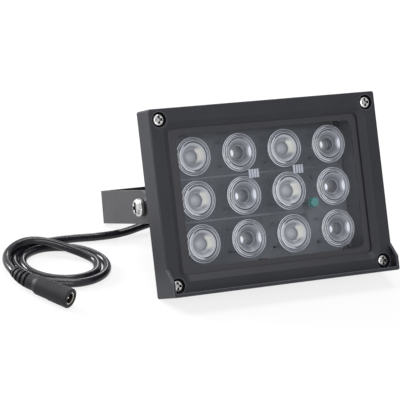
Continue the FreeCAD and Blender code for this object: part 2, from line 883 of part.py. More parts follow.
def face_screws(name, x, z, seat, thread, head, height, length):
    """Four screws driven in from the front, at the corners of a rectangle."""
    body = new_body(name, several=True)
    points = screw_outline(seat, -1, thread, head, height, length)
    turned = Outline(body, "XY", -z, (-x, 0))
    turned.profile([(point[1], point[0], *point[2:]) for point in points])
    shape = revolve(turned)
    recess = Outline(body, "XZ", seat - height - OVERRUN)
    driver_recess(recess, -x, -z, head)
    cut = pocket(recess, D.recess_depth + OVERRUN)
    row = repeat(body, shape, "X_Axis", as_size(2), 2 * x)
    row.Originals = [shape, cut]
    row.Direction2 = (axis_of(body, "Z_Axis"), [""])
    row.setExpression("Length2", (2 * z).text)
    row.Occurrences2 = 2
    return body


def pivot_screws():
    """The two screws that the bracket turns on, threaded into the housing's ears."""
    body = new_body("pivot_screws", several=True)
    height, head = D.pivot_screw_head_height, D.pivot_screw_head
    length = head_seat - ear_inner
    points = screw_outline(head_seat, 1, D.pivot_screw_thread, head, height, length)
    turned = Outline(body, "XY", 0, (0, pivot_level)).profile(points)
    shape = revolve(turned, "H_Axis")
    recess = Outline(body, "YZ", head_seat + height - D.recess_depth)
    driver_recess(recess, pivot_level, 0, head)
    cut = pocket(recess, D.recess_depth + OVERRUN)
    mirror(body, [shape, cut])
    return body


def washer_pair(name, inner_x, thickness, diameter):
    """A washer on each pivot screw."""
    body = new_body(name, several=True)
    ring = Outline(body, "YZ", inner_x).circle(pivot_level, 0, diameter)
    ring.circle(pivot_level, 0, D.pivot_screw_thread + 2 * D.pivot_clearance)
    mirror(body, [pad(ring, thickness)])
    return body


def mounting_bracket():
    """A steel strip bent into a U, drawn about its pivot line with the base straight behind it."""
    body = new_body("mounting_bracket")
    strip, inner = D.strip_thickness, D.bend_radius
    outer = inner + strip
    side, reach = bracket_width / 2, D.bracket_reach
    inside, floor = side - strip, reach - strip
    bent = Outline(body, "XY", -D.strip_width / 2)
    bent.profile(
        [
            (-side, 0),
            (-inside, 0),
            (-inside, floor - inner, -inner),
            (inner - inside, floor),
            (inside - inner, floor, -inner),
            (inside, floor - inner),
            (inside, 0),
            (side, 0),
            (side, reach - outer, outer),
            (side - outer, reach),
            (outer - side, reach, outer),
            (-side, reach - outer),
        ]
    )
    pad(bent, D.strip_width)
    ends = pad(Outline(body, "YZ", inside).circle(0, 0, D.strip_width), strip)
    mirror(body, [ends])
    bore = Outline(body, "YZ", -side - OVERRUN)
    bore.circle(0, 0, D.pivot_screw_thread + 2 * D.pivot_clearance)
    pocket(bore, bracket_width + 2 * OVERRUN)
    fixings = Outline(body, "XZ", floor - OVERRUN).circle(0, 0, D.base_hole)
    for way in (-1, 1):
        centre = (way * D.base_slot_spacing / 2, 0)
        fixings.slot(D.base_slot_length, D.base_slot_width, centre)
    pocket(fixings, strip + 2 * OVERRUN)
    return body


# The gland's levels, outward from its seat on the housing.
gland_seat = shell_back + D.gland_boss_rise
gland_face = gland_seat + D.gland_ring
collar_foot = gland_face + D.gland_hex_height
collar_end = collar_foot + D.gland_collar_length
nut_foot = collar_foot + D.gland_nut_gap
nut_end = nut_foot + D.gland_nut_length


def hexagon(outline, z, across_flats):
    half = across_flats / 2
    side = across_flats / (2 * math.sqrt(3))
    corners = ((1, 1), (0, 2), (-1, 1), (-1, -1), (0, -2), (1, -1))
    outline.profile([(half * i, side * j + z) for i, j in corners])
    return outline


def gland_body():
    """The gland's threaded stub, its hexagon and the collar that holds the seal."""
    body = new_body("gland_body")
    stub = D.gland_bore / 2 - D.gland_thread_clearance
    collar, passage = D.gland_collar / 2, D.gland_passage / 2
    chamber = collar - D.gland_collar_wall
    start = gland_seat - D.gland_stub
    turned = Outline(body, "XY", -D.gland_drop)
    turned.profile(
        [
            (passage, start),
            (stub, start),
            (stub, gland_face),
            (collar, gland_face),
            (collar, collar_end),
            (chamber, collar_end),
            (chamber, collar_foot),
            (passage, collar_foot),
        ]
    )
    revolve(turned)
    flats = hexagon(Outline(body, "XZ", gland_face), -D.gland_drop, D.gland_hex)
    flats.circle(0, -D.gland_drop, D.gland_passage)
    pad(flats, D.gland_hex_height)
    return body


def gland_washer():
    body = new_body("gland_washer")
    ring = Outline(body, "XZ", gland_seat).circle(0, -D.gland_drop, D.gland_ring_diameter)
    ring.circle(0, -D.gland_drop, D.gland_bore + D.gland_thread_clearance)
    pad(ring, D.gland_ring)
    return body


def gland_seal():
    """The rubber bung that grips the cord's end. The two leads run through it."""
    body = new_body("gland_seal")
    chamber = D.gland_collar - 2 * D.gland_collar_wall
    bung = Outline(body, "XZ", collar_foot)
    bung.circle(0, -D.gland_drop, chamber - 2 * D.gland_thread_clearance)
    bung.circle(0, -D.gland_drop, D.lead_spacing + D.lead_diameter + 2 * D.lead_clearance)
    pad(bung, D.gland_collar_length)
    return body


def gland_nut():
    """The cap nut, a hexagon that rounds in to the mouth that the cord leaves by."""
    body = new_body("gland_nut")
    bore = D.gland_collar / 2 + D.gland_thread_clearance
    shoulder, hex_end = D.gland_hex / 2 - D.gland_nut_gap, nut_foot + D.gland_nut_hex_height
    cap = nut_end - D.gland_nut_cap
    turned = Outline(body, "XY", -D.gland_drop)
    turned.profile(
        [
            (bore, nut_foot),
            (shoulder, nut_foot),
            (shoulder, hex_end, D.gland_nut_length),
            (D.gland_nut_top / 2, nut_end),
            (D.gland_nut_mouth / 2, nut_end),
            (D.gland_nut_mouth / 2, cap),
            (bore, cap),
        ]
    )
    revolve(turned)
    flats = hexagon(Outline(body, "XZ", nut_foot), -D.gland_drop, D.gland_hex)
    flats.circle(0, -D.gland_drop, 2 * bore)
    pad(flats, D.gland_nut_hex_height)
    return body


# Tubes and their routes

# How much of the shorter run beside a corner its arc takes up.
ARC_SHARE = 0.45


def rounded_wire(points, radius=None):
    """Straight runs joined by tangent arcs, each with the radius given or as wide as its runs allow.
    Returns the wire and the list of radii."""
    edges, radii = [], []
    start = points[0]
    for before, corner, after in zip(points, points[1:], points[2:]):
        back, ahead = (before - corner), (after - corner)
        shorter = min(back.Length, ahead.Length)
        half_turn = (math.pi - back.getAngle(ahead)) / 2
        reach = ARC_SHARE * shorter
        if radius:
            reach = min(reach, radius * math.tan(half_turn))
        back, ahead = back.normalize(), ahead.normalize()
        arc_start, arc_end = corner + back * reach, corner + ahead * reach
        size = reach / math.tan(half_turn)
        centre = corner + (back + ahead).normalize() * (size / math.cos(half_turn))
        arc_middle = centre + (corner - centre).normalize() * size
        edges.append(Part.LineSegment(start, arc_start).toShape())
        edges.append(Part.Arc(arc_start, arc_middle, arc_end).toShape())
        radii.append(size)
        start = arc_end
    edges.append(Part.LineSegment(start, points[-1]).toShape())
    return Part.Wire(edges), radii


def tube(name, points, diameter, radius=None):
    """A round tube along the points, whose volume is its section times its length."""
    wire, radii = rounded_wire(points, radius)
    along = (points[1] - points[0]).normalize()
    circle = Part.Wire(Part.Circle(points[0], along, diameter / 2).toShape())
    shape = wire.makePipeShell([circle], True, False)
    expected = math.pi * diameter**2 / 4 * wire.Length
    if abs(shape.Volume - expected) > 0.01 * expected:
        raise RuntimeError(f"{name}: volume {shape.Volume:.1f}, expected {expected:.1f}")
    print(f"{name}: length {wire.Length:.1f}, radii", [round(r, 1) for r in radii])
    made = document.addObject("Part::Feature", name)
    made.Label = name
    made.Shape = shape
    return made


def lead(name, side):
    """An insulated lead from the cord's end, through the gland and the channel under the board, to
    the front of the board."""
    x = side * D.lead_spacing.value / 2
    top, bottom = -D.gland_drop.value, (D.lead_notch_height - board_height).value / 2
    channel = floor_level.value + D.lead_channel_depth.value / 2
    front = (board_front - D.lead_diameter / 2 - D.lead_clearance).value
    points = [
        Vector(x, collar_end.value, top),
        Vector(x, channel, top),
        Vector(x, channel, bottom),
        Vector(x, front, bottom),
        Vector(x, front, bottom + D.lead_rise.value),
    ]
    return tube(name, points, D.lead_diameter.value, D.lead_diameter.value)


# The pieces of the head, in its own frame
head_pieces = [
    front_bezel(),
    frame_gasket(
        "window_gasket",
        D.face_thickness,
        D.front_gasket,
        window_width + 2 * D.gasket_setback,
        window_height + 2 * D.gasket_setback,
        D.window_corner + D.gasket_setback,
    ),
    front_glass(),
    frame_gasket(
        "seat_gasket",
        glass_back,
        D.rear_gasket,
        cavity_width + 2 * D.gasket_setback,
        cavity_height + 2 * D.gasket_setback,
        D.cavity_corner + D.gasket_setback,
    ),
    rear_housing(),
    board_sheet("led_board", board_front, D.board_thickness),
    board_sheet("heat_pad", board_back, D.heat_pad_thickness),
    face_screws(
        "bezel_screws",
        bezel_screw_x,
        bezel_screw_z,
        D.counterbore_depth,
        D.bezel_screw_thread,
        D.bezel_screw_head,
        D.bezel_screw_head_height,
        D.bezel_screw_length,
    ),
    face_screws(
        "board_screws",
        board_screw_x,
        board_screw_z,
        board_front,
        D.board_screw_thread,
        D.board_screw_head,
        D.board_screw_head_height,
        D.board_thickness + D.heat_pad_thickness + D.board_screw_bite,
    ),
    light_sensor(),
    current_resistors(),
    control_chip(),
    gland_body(),
    gland_washer(),
    gland_seal(),
    gland_nut(),
    pivot_screws(),
    washer_pair("friction_washers", ear_outer, D.friction_washer, D.friction_washer_diameter),
    washer_pair("lock_washers", washer_inner, D.lock_washer, D.lock_washer_diameter),
    lead("lead_positive", 1),
    lead("lead_negative", -1),
]
for row, column, x, z in lens_places():
    head_pieces.append(emitter(f"emitter_r{row}c{column}", x, z))
    head_pieces.append(lens(f"lens_r{row}c{column}", x, z))
bracket = mounting_bracket()
document.recompute()


# The socket on the cord's end

def socket_shell():
    """The moulded socket: a stepped barrel, a neck and a ribbed boot that bends with the cord. It is
    drawn with the middle of its open face at the origin and the cord leaving along +Y."""
    body = new_body("socket_barrel")
    front, rear, neck = D.socket_diameter / 2, D.socket_rear_diameter / 2, D.socket_neck_diameter / 2
    shoulder = D.socket_barrel_length + D.socket_shoulder_length
    bore = D.socket_bore / 2
    turned = Outline(body, "XY")
    turned.profile(
        [
            (bore, 0),
            (front - D.socket_edge_round, 0, D.socket_edge_round),
            (front, D.socket_edge_round),
            (front, D.socket_front_length),
            (rear, D.socket_front_length),
            (rear, D.socket_barrel_length),
            (neck, shoulder),
            (neck, shoulder + D.socket_neck_length),
            (0, shoulder + D.socket_neck_length),
            (0, D.socket_bore_depth),
            (bore, D.socket_bore_depth),
        ]
    )
    revolve(turned)
    boot = document.addObject("Part::Feature", "socket_boot")
    boot.Shape = ribbed_boot((shoulder + D.socket_neck_length).value)
    shell = document.addObject("Part::Fuse", "socket_shell")
    shell.Label = "socket_shell"
    shell.Base = body
    shell.Tool = boot
    shell.Refine = True
    return shell


def boot_point(start, share):
    """A point of the boot's middle line, and the direction there, at a share of its length."""
    bend = math.radians(D.boot_bend.value)
    radius = D.boot_length.value / bend
    turn = share * bend
    point = Vector(radius * (1 - math.cos(turn)), start + radius * math.sin(turn), 0)
    return point, Vector(math.sin(turn), math.cos(turn), 0)


def ribbed_boot(start):
    """A bent core with ribs that shrink towards the cord, from the end of the neck."""
    line = Part.Arc(*[boot_point(start, share)[0] for share in (0, 0.5, 1)]).toShape()
    section = Part.Circle(Vector(0, start, 0), Vector(0, 1, 0), D.boot_core_diameter.value / 2)
    shape = Part.Wire([line]).makePipeShell([Part.Wire(section.toShape())], True, False)
    count = int(D.boot_rib_count.value)
    first, last = D.boot_front_diameter.value / 2, D.boot_tail_diameter.value / 2
    rib_length = D.boot_length.value / count - D.boot_rib_gap.value
    for index in range(count):
        point, along = boot_point(start, index / count)
        wide = first + (last - first) * index / count
        narrow = first + (last - first) * (index + D.boot_rib_taper.value) / count
        rib = Part.makeCone(wide, narrow, rib_length, point + along * D.boot_rib_gap.value, along)
        shape = shape.fuse(rib)
    return shape


def socket_sleeve():
    """The metal sleeve that a plug's barrel slides into."""
    body = new_body("socket_sleeve")
    outer = D.socket_bore - 2 * D.sleeve_clearance
    ring = Outline(body, "XZ", D.sleeve_recess).circle(0, 0, outer)
    ring.circle(0, 0, outer - 2 * D.sleeve_wall)
    pad(ring, D.socket_bore_depth - D.sleeve_recess)
    return body


def socket_core():
    """The insulating disc at the bottom of the bore, which holds the pin."""
    body = new_body("socket_core")
    disc = Outline(body, "XZ", D.socket_bore_depth - D.core_thickness)
    disc.circle(0, 0, D.socket_bore - 2 * D.sleeve_wall - 4 * D.sleeve_clearance)
    disc.circle(0, 0, D.pin_diameter + 2 * D.sleeve_clearance)
    pad(disc, D.core_thickness)
    return body


def socket_pin():
    """The centre pin, with a rounded tip."""
    body = new_body("socket_pin")
    radius = D.pin_diameter / 2
    turned = Outline(body, "XY")
    turned.profile(
        [
            (0, D.pin_recess, radius),
            (radius, D.pin_recess + radius),
            (radius, D.socket_bore_depth),
            (0, D.socket_bore_depth),
        ]
    )
    revolve(turned)
    return body


# The lamp at rest: it leans back on the bezel's lower rear edge and the lower corner of the bracket's
# base, and the frame's origin lies under the middle of the head and bracket.

def rest_placement():
    swing = math.radians(D.bracket_swing.value)
    reach, half_strip = D.bracket_reach.value, D.strip_width.value / 2
    heel = Vector(0, D.bezel_depth.value, -D.bezel_height.value / 2)
    toe = Vector(0, pivot_level.value, 0)
    toe += Vector(0, math.cos(swing), math.sin(swing)) * reach
    toe += Vector(0, math.sin(swing), -math.cos(swing)) * half_strip
    lean = math.degrees(math.atan2(toe.z - heel.z, toe.y - heel.y))
    turn = FreeCAD.Rotation(Vector(1, 0, 0), -lean)
    front = Vector(0, -D.hood_reach.value, -D.bezel_height.value / 2)
    back = toe + Vector(0, -math.sin(swing), math.cos(swing)) * (2 * half_strip)
    foremost, rearmost = turn.multVec(front).y, max(turn.multVec(toe).y, turn.multVec(back).y)
    print(f"leans back {lean:.2f} degrees")
    shift = Vector(0, -(foremost + rearmost) / 2, -turn.multVec(heel).z)
    return FreeCAD.Placement(shift, turn)


rest = rest_placement()
for piece in head_pieces:
    piece.Placement = rest
hang = FreeCAD.Rotation(Vector(1, 0, 0), D.bracket_swing.value)
bracket.Placement = rest * FreeCAD.Placement(Vector(0, pivot_level.value, 0), hang)

# Where the socket lies on the surface: the middle of its face, and how far its axis is turned from +Y.
SOCKET_FACE = Vector(-122.9, -37.8, D.socket_diameter.value / 2)
SOCKET_TURN = 29.4
socket_place = FreeCAD.Placement(SOCKET_FACE, FreeCAD.Rotation(Vector(0, 0, 1), SOCKET_TURN))
socket_pieces = [socket_shell(), socket_sleeve(), socket_core(), socket_pin()]
for piece in socket_pieces:
    piece.Placement = socket_place

# The cord's route, chosen by hand: from the gland down to the surface, left under the bracket's arm
# and round the coil, then over the coil's own turns and outside them to the socket.
LYING = D.cord_diameter.value / 2 + D.cord_lift.value
CORD_ROUTE = [
    Vector(-3.0, 17.5, 7.4),
    Vector(-9.8, 25.7, 4.8),
    Vector(-19.5, 30.6, 3.1),
    Vector(-31.4, 31.6, 2.4),
    Vector(-44.3, 30.0, LYING),
    Vector(-58.3, 29.0, LYING),
    Vector(-73.3, 29.5, LYING),
    Vector(-88.2, 31.0, LYING),
    Vector(-101.2, 30.9, LYING),
    Vector(-111.5, 28.3, LYING),
]
TAIL_ROUTE = [
    Vector(-138.4, 12.0, 4.6),
    Vector(-135.0, 18.6, 4.4),
    Vector(-129.2, 23.2, 5.4),
    Vector(-122.0, 25.6, 6.8),
    Vector(-114.4, 25.0, 7.1),
    Vector(-107.0, 22.2, 6.2),
    Vector(-100.4, 17.9, 4.6),
    Vector(-94.6, 12.4, 3.0),
    Vector(-90.6, 5.6, LYING),
]
COIL_CENTRE = Vector(-108.0, 6.3, LYING)


def cord_coil():
    """The outer shape of the coil: a low oval ring as wide as its turns."""
    radius = D.cord_diameter.value / 2
    outer = (D.coil_length.value / 2 + radius, D.coil_width.value / 2 + radius)
    inner = [size - D.coil_turns.value * D.cord_diameter.value for size in outer]
    base = COIL_CENTRE - Vector(0, 0, radius)

    def disc(sizes):
        ends = [base + Vector(sizes[0], 0, 0), base + Vector(0, sizes[1], 0)]
        if sizes[1] > sizes[0]:
            ends.reverse()
        curve = Part.Ellipse(*ends, base)
        return Part.Face(Part.Wire(curve.toShape())).extrude(Vector(0, 0, 2 * radius))

    ring = disc(outer).cut(disc(inner))
    rims = [edge for edge in ring.Edges if isinstance(edge.Curve, Part.Ellipse)]
    made = document.addObject("Part::Feature", "cord_coil")
    made.Label = "cord_coil"
    made.Shape = ring.makeFillet(D.coil_rounding.value, rims)
    return made


exit_direction = rest.Rotation.multVec(Vector(0, 1, 0))
cord_start = rest.multVec(Vector(0, collar_end.value, -D.gland_drop.value))
first_run = nut_end.value - collar_end.value + D.cord_diameter.value
boot_start = (D.socket_barrel_length + D.socket_shoulder_length + D.socket_neck_length).value
boot_end, boot_direction = boot_point(boot_start, 1)
tail_start = socket_place.multVec(boot_end)
tail_direction = socket_place.Rotation.multVec(boot_direction)
cord_points = [cord_start, cord_start + exit_direction * first_run] + CORD_ROUTE
tail_points = [tail_start, tail_start + tail_direction * D.tail_first_run.value] + TAIL_ROUTE
cord_pieces = [
    tube("power_cord", cord_points, D.cord_diameter.value),
    cord_coil(),
    tube("cord_tail", tail_points, D.cord_diameter.value),
]
document.recompute()

# Every object has to be sound before anything is written.
for item in document.Objects:
    if "Invalid" in item.State or "Error" in item.State:
        raise RuntimeError(f"{item.Label} failed to build")
pieces = head_pieces + [bracket] + cord_pieces + socket_pieces
for piece in pieces:
    if piece.Shape.isNull() or not piece.Shape.isValid():
        raise RuntimeError(f"{piece.Label} is not a sound solid")
os.makedirs("parts", exist_ok=True)
for piece in pieces:
    piece.Shape.exportStep(f"parts/{piece.Label}.step")
print(len(pieces), "pieces")
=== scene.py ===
import json
import math

import bpy
from mathutils import Matrix, Vector


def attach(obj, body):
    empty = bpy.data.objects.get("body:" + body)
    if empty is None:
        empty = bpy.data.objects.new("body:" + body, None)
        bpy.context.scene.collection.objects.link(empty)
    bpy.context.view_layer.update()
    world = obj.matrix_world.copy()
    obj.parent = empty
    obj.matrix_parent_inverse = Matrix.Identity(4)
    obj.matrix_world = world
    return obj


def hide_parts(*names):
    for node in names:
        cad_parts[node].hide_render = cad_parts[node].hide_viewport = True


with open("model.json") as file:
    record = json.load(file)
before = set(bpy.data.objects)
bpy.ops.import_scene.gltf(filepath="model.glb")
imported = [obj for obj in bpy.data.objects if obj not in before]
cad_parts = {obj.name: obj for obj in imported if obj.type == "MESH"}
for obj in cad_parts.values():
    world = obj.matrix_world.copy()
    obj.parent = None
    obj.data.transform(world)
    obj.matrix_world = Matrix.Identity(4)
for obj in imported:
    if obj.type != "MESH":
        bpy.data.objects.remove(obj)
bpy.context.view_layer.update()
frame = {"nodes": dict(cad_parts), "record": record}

MM = 0.001
NODES = frame["nodes"]

# The lamp leans back: its own frame is X right, Y back from its face, Z up along that face.
LEAN = math.radians(29.9314)
LAMP_AT = Vector((0.0, -27.1799, 50.8104)) * MM


def from_lamp(x, y, z):
    """A point given in the lamp's own frame, in millimetres, as a point of the scene."""
    return Matrix.Rotation(-LEAN, 3, "X") @ (Vector((x, y, z)) * MM) + LAMP_AT


def add_object(name, data):
    """A new object of the scene that holds this data."""
    made = bpy.data.objects.new(name, data)
    bpy.context.scene.collection.objects.link(made)
    return made


# The camera, at the photograph's viewing angle. Its lens and sensor are in millimetres.
CAMERA_AT = from_lamp(-621.43, -1065.71, -20.91)
CAMERA_AZIMUTH = math.radians(31.6172)
CAMERA_ELEVATION = math.radians(25.1023)
CAMERA_ROLL = math.radians(-8.6047)
CAMERA_LENS = 202.54
CAMERA_SENSOR = 36.0
CAMERA_CLIP = (0.05, 50.0)


def make_camera():
    data = bpy.data.cameras.new("camera")
    data.sensor_width = CAMERA_SENSOR
    data.lens = CAMERA_LENS
    data.clip_start, data.clip_end = CAMERA_CLIP
    level = math.cos(CAMERA_ELEVATION)
    toward = Vector(
        (
            -math.sin(CAMERA_AZIMUTH) * level,
            -math.cos(CAMERA_AZIMUTH) * level,
            math.sin(CAMERA_ELEVATION),
        )
    )
    right = Vector((0, 0, 1)).cross(toward).normalized()
    up = toward.cross(right)
    turned_right = right * math.cos(CAMERA_ROLL) - up * math.sin(CAMERA_ROLL)
    turned_up = right * math.sin(CAMERA_ROLL) + up * math.cos(CAMERA_ROLL)
    place = Matrix((turned_right, turned_up, toward)).transposed().to_4x4()
    place.translation = CAMERA_AT
    camera = add_object("camera", data)
    camera.matrix_world = place
    bpy.context.scene.camera = camera


make_camera()


# The cord, in millimetres: one spline from the gland's seal to the socket's boot, with the coil's
# two turns in it. It leaves the seal and enters the boot straight.
CORD_DIAMETER = 4.6
LYING = CORD_DIAMETER / 2 + 0.05
CORD_EXIT = Vector((0.0, 0.628, 16.337))
EXIT_WAY = Vector((0.0, 0.86662, -0.49896))
EXIT_STRAIGHT = 8.9
BOOT_END = Vector((-140.418, -2.724, 5.5))
BOOT_WAY = Vector((0.0105, 0.99994, 0.0))
BOOT_STRAIGHT = 7.4

FROM_EXIT_TO_COIL = [
    (-3.2, 18.4, 10.6),
    (-10.0, 26.4, 9.6),
    (-19.5, 31.4, 9.0),
    (-31.4, 33.0, 7.9),
    (-44.3, 32.4, 5.4),
    (-58.3, 30.4, 2.9),
    (-73.3, 30.4, LYING),
    (-88.2, 31.6, LYING),
    (-101.2, 31.5, LYING),
    (-111.9, 29.8, LYING),
]
FROM_COIL_TO_BOOT = [
    (-87.0, 5.0, LYING),
    (-92.0, 12.6, 3.1),
    (-99.6, 18.2, 4.9),
    (-107.0, 22.2, 6.7),
    (-114.4, 25.0, 7.6),
    (-122.0, 25.6, 7.5),
    (-129.2, 23.2, 6.4),
    (-135.0, 18.6, 5.0),
    (-138.4, 12.0, 4.8),
]

# The coil's two oval turns: their half widths and half depths, the angles in degrees at which
# their points stand, and where the cord starts to move in to the second turn, and for how long.
COIL_CENTRE = Vector((-107.7, 6.3, LYING))
OUTER_HALF_WIDTH, OUTER_HALF_DEPTH = 26.8, 23.9
INNER_HALF_WIDTH, INNER_HALF_DEPTH = 22.2, 18.7
COIL_ANGLES = range(126, 700, 24)
CROSSING_START, CROSSING_SPAN = 312.0, 120.0


def coil_points():
    """Two oval turns. The first lies outside, and the cord moves in to the second on the right."""
    points = []
    for turn in COIL_ANGLES:
        share = min(1.0, max(0.0, (turn - CROSSING_START) / CROSSING_SPAN))
        share = share * share * (3 - 2 * share)
        wide = OUTER_HALF_WIDTH + (INNER_HALF_WIDTH - OUTER_HALF_WIDTH) * share
        deep = OUTER_HALF_DEPTH + (INNER_HALF_DEPTH - OUTER_HALF_DEPTH) * share
        angle = math.radians(turn)
        points.append(COIL_CENTRE + Vector((wide * math.cos(angle), deep * math.sin(angle), 0.0)))
    return points


def cord_line():
    """The cord's control points, from the gland's seal to the socket's boot."""
    incoming = [CORD_EXIT, CORD_EXIT + EXIT_WAY * EXIT_STRAIGHT]
    incoming += [Vector(point) for point in FROM_EXIT_TO_COIL]
    outgoing = [Vector(point) for point in FROM_COIL_TO_BOOT]
    outgoing += [BOOT_END + BOOT_WAY * BOOT_STRAIGHT, BOOT_END]
    return incoming + coil_points() + outgoing


def spline_length(points, steps=16):
    """Length of the quadratic spline that has these control points and runs to both its ends."""
    total, before = 0.0, points[0]
    last = len(points) - 2
    for index in range(1, len(points) - 1):
        start = points[0] if index == 1 else (points[index - 1] + points[index]) / 2
        stop = points[-1] if index == last else (points[index] + points[index + 1]) / 2
        for step in range(1, steps + 1):
            t = step / steps
            here = start * (1 - t) ** 2 + points[index] * 2 * t * (1 - t) + stop * t**2
            total += (here - before).length
            before = here
    return total


def make_cord(material):
    points = cord_line()
    curve = bpy.data.curves.new("supply_cord", "CURVE")
    curve.dimensions = "3D"
    curve.bevel_depth = CORD_DIAMETER / 2 * MM
    curve.bevel_resolution = 7
    curve.resolution_u = 10
    curve.use_fill_caps = True
    spline = curve.splines.new("NURBS")
    spline.points.add(len(points) - 1)
    for point, place in zip(spline.points, points):
        point.co = (*(place * MM), 1.0)
    spline.order_u = 3
    spline.use_endpoint_u = True
    spline.use_smooth = True
    cord = add_object("supply_cord", curve)
    curve.materials.append(material)
    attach(cord, "lamp")
    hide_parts("power_cord", "cord_coil", "cord_tail")
    round(spline_length(points) * MM, 4)


# Tools for the materials

# The stretch that most of a noise lies in
NOISE_LOW, NOISE_HIGH = 0.3, 0.7


def tint(red, green, blue):
    """A colour given as the eye sees it, from 0 to 255, as the linear colour of a shader."""
    def linear(value):
        value = value / 255
        return value / 12.92 if value <= 0.04045 else ((value + 0.055) / 1.055) ** 2.4
    return (linear(red), linear(green), linear(blue), 1.0)


class Field:
    """A number or colour that differs from point to point: an output in a node tree. Sums, products
    and the like of fields are fields too, and a yes or no is 1 or 0."""

    def __init__(self, tree, socket):
        self.tree, self.socket = tree, socket

    def __add__(self, other):
        return self.tree.math("ADD", self, other)

    def __sub__(self, other):
        return self.tree.math("SUBTRACT", self, other)

    def __rsub__(self, other):
        return self.tree.math("SUBTRACT", other, self)

    def __mul__(self, other):
        return self.tree.math("MULTIPLY", self, other)

    def __truediv__(self, other):
        return self.tree.math("DIVIDE", self, other)

    def __mod__(self, other):
        return self.tree.math("MODULO", self, other)

    def __abs__(self):
        return self.tree.math("ABSOLUTE", self)

    def root(self):
        return self.tree.math("SQRT", self)

    def at_least(self, other):
        """The larger of the two at each point."""
        return self.tree.math("MAXIMUM", self, other)

    def above(self, limit):
        return self.tree.math("GREATER_THAN", self, limit)

    def below(self, limit):
        return self.tree.math("LESS_THAN", self, limit)

    def within(self, low, high):
        return self.above(low) * self.below(high)

    def blend(self, first, second):
        """From one colour to another, where this field is the second's share."""
        return self.tree.blend(self, first, second)

    def ramp(self, *stops):
        """A number or colour along this field: each stop is (place, number or colour)."""
        node = self.tree.node("ShaderNodeValToRGB", Fac=self)
        elements = node.color_ramp.elements
        while len(elements) < len(stops):
            elements.new(1.0)
        for element, (place, value) in zip(elements, stops):
            element.position = place
            element.color = value if isinstance(value, tuple) else (value, value, value, 1.0)
        return Field(self.tree, node.outputs["Color"])

    def vary(self, low, high, until=NOISE_HIGH):
        """What a noise makes wander between two numbers or colours."""
        return self.ramp((NOISE_LOW, low), (until, high))


def largest(first, *others):
    """The largest of some fields at each point."""
    for other in others:
        first = first.at_least(other)
    return first


def distance(first, second):
    """How far a point is from the origin, from its two coordinates."""
    return (first * first + second * second).root()


class Tree:
    """A node tree with an output, and short ways to add to it."""

    def __init__(self, tree, output):
        self.tree = tree
        self.tree.nodes.clear()
        self.output = self.node(output)

    def put(self, socket, value):
        """Sets an input to a number or colour, or links it to a field, a normal or a shader."""
        if isinstance(value, Field):
            value = value.socket
        if isinstance(value, bpy.types.NodeSocket):
            self.tree.links.new(value, socket)
        else:
            socket.default_value = value

    def node(self, kind, **inputs):
        """A new node. Its inputs are given by name, with _ for a space."""
        node = self.tree.nodes.new(kind)
        for name, value in inputs.items():
            self.put(node.inputs[name.replace("_", " ")], value)
        return node

    def math(self, operation, first, second=0.0):
        node = self.tree.nodes.new("ShaderNodeMath")
        node.operation = operation
        self.put(node.inputs[0], first)
        self.put(node.inputs[1], second)
        return Field(self, node.outputs["Value"])

    def blend(self, share, first, second, way="MIX"):
        """From one colour to another, where the share is the second's."""
        node = self.tree.nodes.new("ShaderNodeMix")
        node.data_type = "RGBA"
        node.blend_type = way
        self.put(node.inputs["Factor"], share)
        colours = [socket for socket in node.inputs if socket.type == "RGBA"]
        self.put(colours[0], first)
        self.put(colours[1], second)
        return Field(self, [socket for socket in node.outputs if socket.type == "RGBA"][0])

    def shader(self, kind, **inputs):
        """The result of a new shader."""
        return self.node(kind, **inputs).outputs[0]

    def mix(self, share, first, second):
        """From one shader to another, where the share is the second's."""
        node = self.node("ShaderNodeMixShader", Fac=share)
        self.put(node.inputs[1], first)
        self.put(node.inputs[2], second)
        return node.outputs["Shader"]

    def ray(self, kind):
        """Whether the ray that meets a point is of this kind."""
        return Field(self, self.node("ShaderNodeLightPath").outputs[kind])

    def seen(self):
        """Whether a ray shows the background: to the camera, in metal or through glass."""
        kinds = ("Is Camera Ray", "Is Glossy Ray", "Is Transmission Ray")
        return largest(*(self.ray(kind) for kind in kinds))

    def surface(self, shader):
        self.put(self.output.inputs["Surface"], shader)


